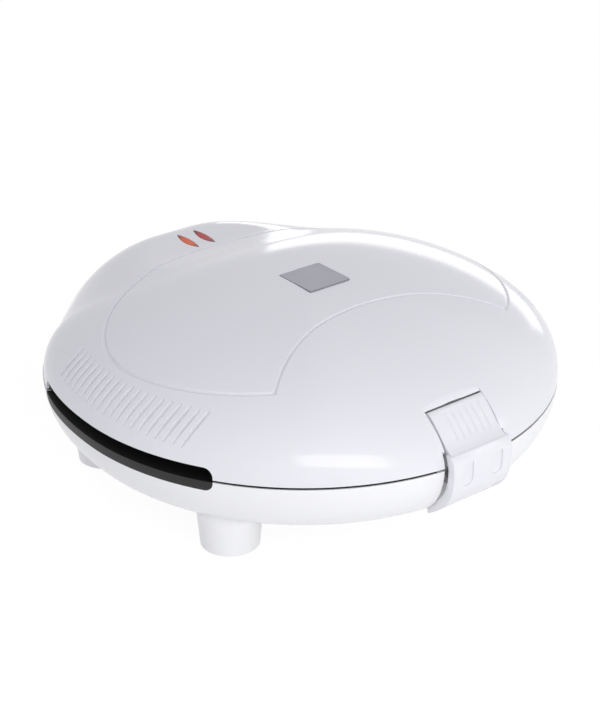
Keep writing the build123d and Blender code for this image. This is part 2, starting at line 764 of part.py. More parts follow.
with BuildPart() as lower_heater_clamps:
    with BuildSketch(Plane.XY.offset(clamp_top - clamp_thickness)):
        with Locations((-clamp_x, 0), (clamp_x, 0)):
            Rectangle(clamp_width, clamp_length)
    extrude(amount=clamp_thickness)
    add(posts(clamp_places, screw_radius, clamp_top - clamp_thickness, clamp_top), mode=Mode.SUBTRACT)
save(lower_heater_clamps.part, "lower_heater_clamps")

with BuildPart() as upper_heater_clamps:
    add(mirror(lower_heater_clamps.part, about=seam_plane))
save(upper_heater_clamps.part, "upper_heater_clamps")

with BuildPart() as lower_reflector:
    add(pan(reflector_bottom))
    add(posts(plate_screw_places, screw_radius, reflector_bottom, reflector_top), mode=Mode.SUBTRACT)
save(lower_reflector.part, "lower_reflector")

with BuildPart() as upper_reflector:
    add(mirror(lower_reflector.part, about=seam_plane))
save(upper_reflector.part, "upper_reflector")

with BuildPart() as lower_plate_screws:
    add(screws(plate_screw_places, reflector_bottom, screw_length, True))
    add(screws(clamp_places, clamp_top - clamp_thickness, clamp_screw_length, True))
save(lower_plate_screws.part, "lower_plate_screws")

with BuildPart() as upper_plate_screws:
    add(mirror(lower_plate_screws.part, about=seam_plane))
save(upper_plate_screws.part, "upper_plate_screws")

# Controls and wiring
with BuildPart() as thermostat:
    with BuildSketch(Plane.XY.offset(bulge_bottom)):
        with Locations((sensor_x, 0)):
            Circle(thermostat_radius)
    extrude(amount=-thermostat_height)
save(thermostat.part, "thermostat")

with BuildPart() as thermal_fuse:
    with BuildSketch(Plane.XZ):
        with Locations((-sensor_x, bulge_bottom - fuse_radius)):
            Circle(fuse_radius)
    extrude(amount=fuse_length / 2, both=True)
save(thermal_fuse.part, "thermal_fuse")

with BuildPart() as terminal_block:
    with BuildSketch(Plane.XY.offset(bowl_floor)):
        with Locations((block_x, block_y)):
            Rectangle(block_length, block_depth)
    extrude(amount=block_height)
save(terminal_block.part, "terminal_block")

terminal_y = heater_end_y + terminal_length
block_top = bowl_floor + block_height
with BuildPart() as base_leads:
    add(lead((0, 0, -1), (heater_end_x, terminal_y, heater_z),
             (heater_end_x + 2, reflector_half_y + 4, heater_z + lead_rise),
             (block_x - 6, block_y - 8, heater_z + lead_rise), (block_x - 6, block_y, block_top)))
    add(lead((0, 0, -1), (-heater_end_x, terminal_y, heater_z),
             (-heater_end_x + 3, reflector_half_y + 4, heater_z + lead_rise),
             (block_x, block_y - 16, heater_z + lead_rise), (block_x + 6, block_y, block_top)))
save(base_leads.part, "base_leads")

upper_heater_z = 2 * seam_height - heater_z
with BuildPart() as lid_leads:
    for side in (-1, 1):
        add(lead((0, 0, 1), (side * heater_end_x, terminal_y, upper_heater_z),
                 (side * heater_end_x, reflector_half_y + 4, upper_heater_z - lead_rise / 2),
                 (side * heater_end_x, lamp_y - 16, upper_heater_z),
                 (side * lamp_x, lamp_y, holder_bottom)))
save(lid_leads.part, "lid_leads")

with BuildPart() as cord_gland:
    with BuildSketch(Plane.XZ.offset(-gland_inner_y)):
        with Locations((0, gland_z)):
            Circle(gland_radius)
    extrude(amount=gland_inner_y - spout_face)
    with BuildSketch(Plane.XZ.offset(-spout_face)):
        with Locations((0, gland_z)):
            Circle(gland_flange)
    extrude(amount=-gland_flange_thickness)
    with BuildSketch(Plane.XZ.offset(-gland_inner_y)):
        with Locations((0, gland_z)):
            Circle(gland_bore)
    extrude(amount=-3 * rim_radius, mode=Mode.SUBTRACT)
save(cord_gland.part, "cord_gland")
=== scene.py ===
import math

import bmesh
import bpy
import numpy as np
from mathutils import Matrix, Vector


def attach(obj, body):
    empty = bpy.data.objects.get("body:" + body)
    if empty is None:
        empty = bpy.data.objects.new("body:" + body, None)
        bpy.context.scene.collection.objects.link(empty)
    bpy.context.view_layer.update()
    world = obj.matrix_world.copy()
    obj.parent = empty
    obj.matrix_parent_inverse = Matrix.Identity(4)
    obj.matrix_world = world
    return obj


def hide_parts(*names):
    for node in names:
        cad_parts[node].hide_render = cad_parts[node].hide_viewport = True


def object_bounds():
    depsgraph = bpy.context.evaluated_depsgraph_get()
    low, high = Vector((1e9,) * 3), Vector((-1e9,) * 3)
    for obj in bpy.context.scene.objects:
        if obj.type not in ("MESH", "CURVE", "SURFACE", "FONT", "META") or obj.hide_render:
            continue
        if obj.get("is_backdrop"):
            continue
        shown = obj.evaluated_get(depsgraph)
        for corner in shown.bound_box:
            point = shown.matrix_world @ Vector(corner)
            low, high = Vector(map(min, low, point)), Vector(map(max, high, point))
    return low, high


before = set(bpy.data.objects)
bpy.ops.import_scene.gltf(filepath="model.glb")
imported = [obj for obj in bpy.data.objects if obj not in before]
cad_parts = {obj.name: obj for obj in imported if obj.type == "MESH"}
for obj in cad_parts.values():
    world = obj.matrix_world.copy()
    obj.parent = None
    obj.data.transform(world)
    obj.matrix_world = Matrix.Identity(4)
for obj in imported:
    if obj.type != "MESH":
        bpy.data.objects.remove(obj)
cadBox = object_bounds()
mm = 0.001
print("frame loaded:", len(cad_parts), "nodes")


# small helpers

def hexLinear(text):
    rgb = [int(text[i:i + 2], 16) / 255 for i in (1, 3, 5)]
    return [c / 12.92 if c <= 0.04045 else ((c + 0.055) / 1.055) ** 2.4 for c in rgb] + [1.0]


def addNode(tree, kind, settings=None, links=None):
    node = tree.nodes.new(kind)
    for key, value in (settings or {}).items():
        if isinstance(key, str) and key not in node.inputs:
            setattr(node, key, value)
        else:
            node.inputs[key].default_value = value
    for key, source in (links or {}).items():
        tree.links.new(source, node.inputs[key])
    return node


flowLength = 22.0  # mm between the slow ripples that a moulding or a casting keeps


def finish(name, colour, rough=0.3, grain=0.0, grainSize=0.4, wave=0.0, coat=0.0, spread=0.0, metal=0.0,
           ior=1.5):
    # moulded, cast or pressed stock: a colour, a fine grain and a slow ripple, both in millimetres
    material = bpy.data.materials.new(name)
    material.use_nodes = True
    tree = material.node_tree
    shader = tree.nodes["Principled BSDF"]
    base = hexLinear(colour)
    shader.inputs["Base Color"].default_value = base
    shader.inputs["Roughness"].default_value = rough
    shader.inputs["Metallic"].default_value = metal
    shader.inputs["Coat Weight"].default_value = coat
    if not metal:
        shader.inputs["IOR"].default_value = ior
    where = addNode(tree, "ShaderNodeTexCoord").outputs["Object"]
    fine = addNode(tree, "ShaderNodeTexNoise", {"Scale": 1 / (grainSize * mm), "Detail": 2.0},
                   {"Vector": where})
    slow = addNode(tree, "ShaderNodeTexNoise", {"Scale": 1 / (flowLength * mm), "Detail": 1.0},
                   {"Vector": where})
    if spread:
        dark = [c * (1 - spread) for c in base[:3]] + [1.0]
        light = [min(1, c * (1 + spread)) for c in base[:3]] + [1.0]
        ramp = addNode(tree, "ShaderNodeValToRGB", links={"Fac": slow.outputs["Fac"]})
        ramp.color_ramp.elements[0].position = 0.3
        ramp.color_ramp.elements[0].color = dark
        ramp.color_ramp.elements[1].position = 0.7
        ramp.color_ramp.elements[1].color = light
        tree.links.new(ramp.outputs["Color"], shader.inputs["Base Color"])
    roughRange = addNode(tree, "ShaderNodeMapRange", {"To Min": rough * 0.9, "To Max": rough * 1.1},
                         {"Value": fine.outputs["Fac"]})
    tree.links.new(roughRange.outputs["Result"], shader.inputs["Roughness"])
    bump = None
    if wave:
        bump = addNode(tree, "ShaderNodeBump", {"Strength": 1.0, "Distance": wave * mm},
                       {"Height": slow.outputs["Fac"]})
    if grain:
        links = {"Height": fine.outputs["Fac"]}
        if bump:
            links["Normal"] = bump.outputs["Normal"]
        bump = addNode(tree, "ShaderNodeBump", {"Strength": 1.0, "Distance": grain * mm}, links)
    if bump:
        tree.links.new(bump.outputs["Normal"], shader.inputs["Normal"])
    return material


lamp = {"x": 5.2, "y": 91.0, "length": 20.0, "width": 4.8, "floor": 82.0, "play": 0.05}


def clearLens(name, colour, deep):
    # moulded clear lens over a lamp: bright in its middle, darker towards the pointed ends
    material = finish(name, colour, rough=0.34)
    tree = material.node_tree
    shader = tree.nodes["Principled BSDF"]
    where = addNode(tree, "ShaderNodeTexCoord").outputs["Object"]
    place = addNode(tree, "ShaderNodeMapping", {"Location": (0, -lamp["y"] * mm, 0)}, {"Vector": where})
    split = addNode(tree, "ShaderNodeSeparateXYZ", links={"Vector": place.outputs["Vector"]})
    far = addNode(tree, "ShaderNodeMath", {"operation": "ABSOLUTE"}, {0: split.outputs["Y"]})
    ramp = addNode(tree, "ShaderNodeValToRGB", links={"Fac": addNode(
        tree, "ShaderNodeMapRange", {"From Max": lamp["length"] / 2 * mm},
        {"Value": far.outputs[0]}).outputs["Result"]})
    ramp.color_ramp.elements[0].position = 0.35
    ramp.color_ramp.elements[0].color = hexLinear(colour)
    ramp.color_ramp.elements[1].position = 0.85
    ramp.color_ramp.elements[1].color = hexLinear(deep)
    tree.links.new(ramp.outputs["Color"], shader.inputs["Base Color"])
    return material


def meshPiece(name, verts, faces, body, material, replaced=(), scale=mm):
    data = bpy.data.meshes.new(name)
    data.from_pydata([tuple(c * scale for c in v) for v in verts], [], [tuple(f) for f in faces])
    data.validate()
    piece = bpy.data.objects.new(name, data)
    bpy.context.scene.collection.objects.link(piece)
    if material:
        data.materials.append(material)
    if body:
        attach(piece, body)
    if replaced:
        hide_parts(*replaced)
    return piece


def smoothByAngle(piece, degrees):
    piece.data.shade_smooth()
    piece.data.set_sharp_from_angle(angle=math.radians(degrees))


def fixNormals(piece):
    work = bmesh.new()
    work.from_mesh(piece.data)
    bmesh.ops.remove_doubles(work, verts=work.verts, dist=0.01 * mm)
    bmesh.ops.recalc_face_normals(work, faces=work.faces)
    work.to_mesh(piece.data)
    work.free()


def bakeModifiers(piece):
    evaluated = piece.evaluated_get(bpy.context.evaluated_depsgraph_get())
    fresh = bpy.data.meshes.new_from_object(evaluated)
    piece.modifiers.clear()
    old = piece.data
    piece.data = fresh
    bpy.data.meshes.remove(old)


def copyOf(nodeName, name, body, material, degrees=32):
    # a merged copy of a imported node, so that its curved faces can be shaded smooth
    piece = bpy.data.objects.new(name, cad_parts[nodeName].data.copy())
    bpy.context.scene.collection.objects.link(piece)
    piece.data.materials.clear()
    piece.data.materials.append(material)
    work = bmesh.new()
    work.from_mesh(piece.data)
    bmesh.ops.remove_doubles(work, verts=work.verts, dist=0.005 * mm)
    work.to_mesh(piece.data)
    work.free()
    if piece.data.has_custom_normals:
        piece.data.normals_split_custom_set([(0, 0, 0)] * len(piece.data.loops))
    for face in piece.data.polygons:
        face.material_index = 0
    smoothByAngle(piece, degrees)
    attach(piece, body)
    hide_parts(nodeName)
    return piece


def cutAway(piece, tools):
    for tool in tools:
        cut = piece.modifiers.new("cut", "BOOLEAN")
        cut.operation = "DIFFERENCE"
        cut.solver = "EXACT"
        cut.object = tool
    bakeModifiers(piece)
    for tool in tools:
        bpy.data.objects.remove(tool)


def prism(name, outline, half, plane):
    # an outline drawn evenly to both sides: "yz" outlines run in X, "xy" ones from half[0] to half[1] in Z
    count = len(outline)
    if plane == "yz":
        low = [(-half, y, z) for y, z in outline]
        high = [(half, y, z) for y, z in outline]
    else:
        low = [(x, y, half[0]) for x, y in outline]
        high = [(x, y, half[1]) for x, y in outline]
    faces = [list(range(count)), list(range(2 * count - 1, count - 1, -1))]
    faces += [[i, (i + 1) % count, count + (i + 1) % count, count + i] for i in range(count)]
    piece = meshPiece(name, low + high, faces, None, None)
    fixNormals(piece)
    return piece


def startTree(name, sockets):
    # a Geometry Nodes tree with its named inputs
    tree = bpy.data.node_groups.new(name, "GeometryNodeTree")
    for title, kind in sockets.items():
        tree.interface.new_socket(title, in_out="INPUT", socket_type="NodeSocket" + kind)
    tree.interface.new_socket("Shape", in_out="OUTPUT", socket_type="NodeSocketGeometry")
    return tree, addNode(tree, "NodeGroupInput").outputs


def endTree(tree, shape, material):
    done = addNode(tree, "GeometryNodeSetMaterial", links={"Geometry": shape, "Material": material})
    addNode(tree, "NodeGroupOutput", links={0: done.outputs[0]})


def runTree(piece, tree, values):
    # sets the inputs by their identifiers and keeps the result as a plain mesh
    modifier = piece.modifiers.new(tree.name, "NODES")
    modifier.node_group = tree
    for socket in tree.interface.items_tree:
        if socket.in_out == "INPUT" and socket.name in values:
            modifier[socket.identifier] = values[socket.name]
    bakeModifiers(piece)


# materials

# injection moulded ABS from a polished tool: clean white with small sharp highlights over a faint flow ripple
whiteAbs = finish("abs moulded gloss white", "#e7e7ea", rough=0.13, grain=0.0012, grainSize=0.35, wave=0.02,
                  ior=1.4)
# the same ABS in the lower shell, painted a lighter white than the lid's to stand in for the stronger light
# that falls on it, and a little less polished, so that its highlights are wider and softer
baseAbsPaintedLighter = finish("abs moulded white base painted lighter", "#f0f0f0", rough=0.3, grain=0.0012, grainSize=0.35, wave=0.02,
                 coat=0.1)
# glass filled nylon from a spark eroded tool: matt black that hardly reflects, so the grips read as slots
darkPa = finish("nylon moulded matt black", "#0d0d0e", rough=0.5, grain=0.008, grainSize=0.5)
# the same nylon in the frame rings: a shade lighter and rougher
bezelPa = finish("nylon moulded black bezel", "#111112", rough=0.55, grain=0.01, grainSize=0.5)
# cast aluminium under a sprayed non-stick coat: dark grey with a soft sheen and a cast unevenness
coatedPlate = finish("cast aluminium with non-stick coat", "#26262a", rough=0.38, grain=0.02, grainSize=0.8,
                     spread=0.12, coat=0.15)
# blasted and anodised aluminium sheet: an even satin grey
badgeMetal = finish("aluminium satin badge", "#9b9ca4", rough=0.34, grain=0.004, grainSize=0.3, spread=0.06,
                    metal=1.0)
# rolled sheet with an aluminium coat: pale, slightly spangled metal
sheetSteel = finish("sheet steel aluminised", "#b9bbbd", rough=0.36, grain=0.01, grainSize=1.2, spread=0.08,
                    metal=1.0)
# drawn and turned steel: bright and fairly smooth
pinSteel = finish("turned steel", "#b4b4b6", rough=0.24, grain=0.002, grainSize=0.2, metal=1.0)
# zinc plated and passivated screws: a warm grey metal that varies a little from spot to spot
zincSteel = finish("zinc plated screw steel", "#c9c7bf", rough=0.3, grain=0.004, grainSize=0.3, spread=0.1,
                   metal=1.0)
# steel sheathed element that has been hot: dull brown grey with uneven tempering
heaterSteel = finish("heat darkened steel tube", "#6f675f", rough=0.45, grain=0.006, grainSize=0.5,
                     spread=0.2, metal=1.0)
# compression moulded rubber: dark, dry and without highlights
rubberBlack = finish("moulded rubber foot", "#2a2a2b", rough=0.7, grain=0.02, grainSize=0.6)
# pressed and fired steatite: chalky cream
steatite = finish("pressed steatite ceramic", "#d9d3c6", rough=0.55, grain=0.01, grainSize=0.4, spread=0.05)
# braided glass yarn: pale and rough, with a grain of the yarn's size
sleeveCloth = finish("woven glass sleeve", "#d8d8d2", rough=0.8, grain=0.08, grainSize=0.6)
# moulded nylon bush: plain light grey
greyAbs = finish("moulded grey gland", "#c9cacd", rough=0.4, grain=0.004, grainSize=0.4)
# clear moulded lenses over unlit lamps: a deep colour that darkens towards the pointed ends
amberLens = clearLens("clear moulded amber lens", "#d9521c", "#74160f")
redLens = clearLens("clear moulded red lens", "#b0121b", "#3c0810")
# blown glass of the small lamps: warm and glossy
neonGlass = finish("neon lamp glass", "#e8c8ae", rough=0.1, coat=0.5)
print("materials made")

nodeFinish = {
    "badge_plate": badgeMetal, "lamp_holder": darkPa, "neon_lamps": neonGlass,
    "upper_grip_left": darkPa, "upper_grip_right": darkPa, "lower_grip_left": darkPa,
    "lower_grip_right": darkPa, "upper_plate": coatedPlate, "lower_plate": coatedPlate,
    "upper_ring": bezelPa, "lower_ring": bezelPa, "upper_heater": heaterSteel, "lower_heater": heaterSteel,
    "upper_heater_clamps": sheetSteel, "lower_heater_clamps": sheetSteel, "upper_reflector": sheetSteel,
    "lower_reflector": sheetSteel,
    "upper_ring_screws": zincSteel, "lower_ring_screws": zincSteel, "upper_plate_screws": zincSteel,
    "lower_plate_screws": zincSteel, "lid_leads": sleeveCloth, "base_leads": sleeveCloth,
    "link_lead_sleeve": sleeveCloth, "latch_pin": pinSteel, "hinge_pin_left": pinSteel,
    "hinge_pin_right": pinSteel,
    "latch_spring": pinSteel, "thermostat": steatite, "thermal_fuse": steatite, "terminal_block": steatite,
    "cord_gland": greyAbs, "foot_pad_front_left": rubberBlack, "foot_pad_rear_left": rubberBlack,
    "foot_pad_front_right": rubberBlack, "foot_pad_rear_right": rubberBlack, "latch": whiteAbs,
    "lamp_lens_amber": amberLens, "lamp_lens_red": redLens, "lid_shell": whiteAbs, "base_shell": baseAbsPaintedLighter}
for nodeName, material in nodeFinish.items():
    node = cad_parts[nodeName]
    node.data.materials.clear()
    node.data.materials.append(material)

# form of the lid

seam = 49.0
lidForm = {"bottom": 49.6, "radius": 126.0, "rise": 48.0, "power": 0.427, "rearFall": 0.35,
           "rearSpread": 60.0, "frontPower": 0.14, "frontFull": 10.0, "frontEnd": 38.0, "scaleTop": 48.0,
           "scaleRim": 60.0, "blend": 14.0, "blendFrom": 15.0, "blendOver": 45.0, "blendFoot": 18.0,
           "around": 400, "up": 84, "upPower": 0.9, "wall": 1.3}
shownDeck = {"half": 65.8, "rear": 126.0, "top": 84.3, "corner": 57.2, "edge": 28.0, "sideTaper": 0.632,
             "rearTaper": 0.113, "tilt": 0.08}
packedDeck = {"half": 76.0, "rear": 130.0, "top": 85.6, "corner": 45.0, "edge": 25.0, "sideTaper": 0.0,
              "rearTaper": 0.0, "tilt": 0.0}
flareForm = {"reach": 3.4, "start": 90.5, "peak": 126.0, "end": 150.0, "inner": 95.0, "outer": 126.0}


def easeStep(t):
    t = np.clip(t, 0, 1)
    return t * t * (3 - 2 * t)


def domeDistance(x, y, z, fall=0.0, inset=0.0, front=0.0):
    # below zero inside the dome, and nearly millimetres close to its skin
    f = lidForm
    squeeze = 1 + fall * easeStep(y / f["rearSpread"]) * np.exp(-(x / f["rearSpread"]) ** 2)
    up = np.maximum(z - f["bottom"], 0) / (f["rise"] - inset)
    turn = np.degrees(np.arctan2(np.abs(x), -y))
    power = f["power"] + front * easeStep((f["frontEnd"] - turn) / (f["frontEnd"] - f["frontFull"]))
    q = (x * x + (y * squeeze) ** 2) / (f["radius"] - inset) ** 2 + up ** (1 / power)
    return (np.sqrt(q) - 1) * (f["scaleTop"] + f["scaleRim"] * np.clip(1 - up, 0, 1))


def deckDistance(x, y, z, deck, inset=0.0):
    # the rear deck: an upright block, or one that widens downwards, with a rounded upper edge
    top = deck["top"] + deck["tilt"] * (y - 90) - inset
    corner = deck["corner"] - inset
    ax = np.abs(x) - (deck["half"] - inset + deck["sideTaper"] * (deck["top"] - z) - corner)
    ay = y - (deck["rear"] - inset + deck["rearTaper"] * (deck["top"] - z) - corner)
    flat = np.hypot(np.maximum(ax, 0), np.maximum(ay, 0)) + np.minimum(np.maximum(ax, ay), 0) - corner
    edge = deck["edge"] - inset
    a = flat + edge
    b = z - (top - edge)
    return np.hypot(np.maximum(a, 0), np.maximum(b, 0)) + np.minimum(np.maximum(a, b), 0) - edge


def lidDistance(x, y, z):
    # the dome falls a little faster towards the lamps, is rounder over the latch, and runs into the deck
    # without an edge
    f = lidForm
    a = domeDistance(x, y, z, f["rearFall"], front=f["frontPower"])
    b = np.where(y < 5, 1e3, deckDistance(x, y, z, shownDeck))
    k = f["blend"] * np.clip((y - f["blendFrom"]) / f["blendOver"], 0, 1)
    k = np.maximum(k * easeStep((z - f["bottom"]) / f["blendFoot"]), 1e-3)
    h = np.clip(0.5 + 0.5 * (b - a) / k, 0, 1)
    return b * (1 - h) + a * h - k * h * (1 - h)


def flareOut(piece):
    # both shells and their grips spread a little at the rear sides, beside the hinge
    f = flareForm
    data = piece.data
    co = np.empty(len(data.vertices) * 3)
    data.vertices.foreach_get("co", co)
    co = co.reshape(-1, 3)
    x, y = co[:, 0] / mm, co[:, 1] / mm
    turn = np.degrees(np.arctan2(np.abs(x), -y))
    r = np.hypot(x, y) + 1e-9
    grow = np.where(turn < f["peak"], easeStep((turn - f["start"]) / (f["peak"] - f["start"])),
                    easeStep((f["end"] - turn) / (f["end"] - f["peak"])))
    share = 1 + f["reach"] * grow * easeStep((r - f["inner"]) / (f["outer"] - f["inner"])) / r
    co[:, 0] *= share
    co[:, 1] *= share
    data.vertices.foreach_set("co", co.ravel())
    data.update()


def lidNormal(x, y, z):
    step = 0.02
    n = np.stack([lidDistance(x + step, y, z) - lidDistance(x - step, y, z),
                  lidDistance(x, y + step, z) - lidDistance(x, y - step, z),
                  lidDistance(x, y, z + step) - lidDistance(x, y, z - step)], -1)
    return n / np.linalg.norm(n, axis=-1, keepdims=True)


def lidRay(direction):
    # where rays from the middle of the rim plane leave the lid
    low = np.zeros(direction.shape[0])
    high = np.full(direction.shape[0], 200.0)
    for _ in range(44):
        half = (low + high) / 2
        p = direction * half[:, None]
        inside = lidDistance(p[:, 0], p[:, 1], p[:, 2] + lidForm["bottom"]) < 0
        low = np.where(inside, half, low)
        high = np.where(inside, high, half)
    p = direction * low[:, None]
    p[:, 2] += lidForm["bottom"]
    return p


def lidLevel(x, y):
    # height of the outer skin over a place in plan
    x = np.atleast_1d(np.asarray(x, float))
    y = np.atleast_1d(np.asarray(y, float))
    low = np.full(x.shape, lidForm["bottom"])
    high = np.full(x.shape, 105.0)
    for _ in range(40):
        half = (low + high) / 2
        inside = lidDistance(x, y, half) < 0
        low = np.where(inside, half, low)
        high = np.where(inside, high, half)
    return low


def lidSkin():
    n, m = lidForm["around"], lidForm["up"]
    turn = 2 * np.pi * np.arange(n) / n
    points = []
    for j in range(m):
        lift = 0.5 * np.pi * (j / m) ** lidForm["upPower"]
        tangent = math.tan(lift) * lidForm["rise"] / lidForm["radius"]
        d = np.stack([np.cos(turn), np.sin(turn), np.full(n, tangent)], 1)
        d /= np.linalg.norm(d, axis=1, keepdims=True)
        points.append(lidRay(d))
    outer = np.concatenate(points + [lidRay(np.array([[0.0, 0.0, 1.0]]))])
    normal = lidNormal(outer[:, 0], outer[:, 1], outer[:, 2])
    normal[:n, 2] = 0
    normal[:n] /= np.linalg.norm(normal[:n], axis=1, keepdims=True)
    inner = outer - normal * lidForm["wall"]
    inner[:n, 2] = lidForm["bottom"]
    total = len(outer)
    faces = []
    for j in range(m - 1):
        for i in range(n):
            a, b = j * n + i, j * n + (i + 1) % n
            faces.append([a, b, b + n, a + n])
    top = (m - 1) * n
    faces += [[top + i, top + (i + 1) % n, total - 1] for i in range(n)]
    faces += [[total + k for k in reversed(f)] for f in faces[:]]
    faces += [[(i + 1) % n, i, total + i, total + (i + 1) % n] for i in range(n)]
    return np.concatenate([outer, inner]), faces


# cutters for the lid

panelLine = {"halfWidth": 106.0, "rear": 76.7, "rearPower": 1.7, "cornerX": 71.0, "cornerY": -68.0,
             "sideX": 88.0, "sideY": -51.0, "hollowY": -41.5, "outside": 1.5, "inside": 0.5, "floor": 0.24,
             "depth": 0.9}
latchPocket = {"half": 17.23, "outline": [(-105.4, 60), (-105.4, 25.2), (-107.9, 21.6), (-104.57, 20.6),
                                          (-104.57, 16.0), (-109.47, 8.0), (-113.47, 1.5), (-113.47, -4),
                                          (-145, -4), (-145, 60)],
               "hookHalf": 18.63, "hookOutline": [(-120.47, -4), (-120.47, 7.83), (-145, 7.83), (-145, -4)]}
badge = {"side": 24.8, "y": -8.5, "floor": 96.6}


def threePointArc(a, b, c, count):
    (ax, ay), (bx, by), (cx, cy) = a, b, c
    d = 2 * (ax * (by - cy) + bx * (cy - ay) + cx * (ay - by))
    aa, bb, cc = ax * ax + ay * ay, bx * bx + by * by, cx * cx + cy * cy
    ux = (aa * (by - cy) + bb * (cy - ay) + cc * (ay - by)) / d
    uy = (aa * (cx - bx) + bb * (ax - cx) + cc * (bx - ax)) / d
    r = math.hypot(ax - ux, ay - uy)
    t0, tb, t1 = (math.atan2(y - uy, x - ux) for x, y in (a, b, c))
    forward = (tb - t0) % (2 * math.pi) < (t1 - t0) % (2 * math.pi)
    sweep = (t1 - t0) % (2 * math.pi) if forward else -((t0 - t1) % (2 * math.pi))
    return [(ux + r * math.cos(t0 + sweep * i / count), uy + r * math.sin(t0 + sweep * i / count))
            for i in range(count)]


def panelOutline():
    p = panelLine
    right = threePointArc((p["cornerX"], p["cornerY"]), (p["sideX"], p["sideY"]), (p["halfWidth"], 0), 40)
    rear = []
    for i in range(150):
        c, w = math.cos(math.pi * i / 150), math.sin(math.pi * i / 150)
        rear.append((math.copysign(p["halfWidth"] * abs(c) ** (2 / p["rearPower"]), c), p["rear"] * w))
    left = threePointArc((-p["halfWidth"], 0), (-p["sideX"], p["sideY"]), (-p["cornerX"], p["cornerY"]), 40)
    front = threePointArc((-p["cornerX"], p["cornerY"]), (0, p["hollowY"]), (p["cornerX"], p["cornerY"]), 70)
    return right + rear + left + front


def grooveTool(outline, groove):
    # a closed ribbon that follows the skin: a steep wall towards the panel and a long ramp outside it
    pts = np.array(outline)
    ahead = np.roll(pts, -1, 0) - pts
    ahead /= np.linalg.norm(ahead, axis=1, keepdims=True)
    behind = np.roll(ahead, 1, 0)
    side = np.stack([-(ahead + behind)[:, 1], (ahead + behind)[:, 0]], 1)
    side /= np.linalg.norm(side, axis=1, keepdims=True)
    square = np.stack([-ahead[:, 1], ahead[:, 0]], 1)
    mitre = np.clip((side * square).sum(1), 0.45, 1)
    rings = []
    outside, inside, flat, depth = groove["outside"], groove["inside"], groove["floor"], groove["depth"]
    for offset, lift in ((-outside, 3.0), (inside, 3.0), (inside, 0.05), (flat, -depth), (-flat, -depth),
                         (-outside, 0.02)):
        q = pts + side * (offset / mitre)[:, None]
        level = lidLevel(q[:, 0], q[:, 1]) + lift
        rings.append(np.column_stack([q, level]))
    count, corners = len(pts), len(rings)
    verts = np.stack(rings, 1).reshape(-1, 3)
    faces = []
    for i in range(count):
        j = (i + 1) % count
        for k in range(corners):
            m = (k + 1) % corners
            faces.append([i * corners + k, j * corners + k, j * corners + m, i * corners + m])
    tool = meshPiece("grooveTool", verts, faces, None, None)
    fixNormals(tool)
    return tool


ventFan = {"count": 20, "innerFirst": 60.6, "innerLast": 107.6, "outerFirst": 64.4, "outerLast": 106.7,
           "inner": 110.4, "outer": 123.5, "outerEnd": 122.5, "steps": 14, "slot": 0.6, "ramp": 1.9,
           "depth": 1.15}


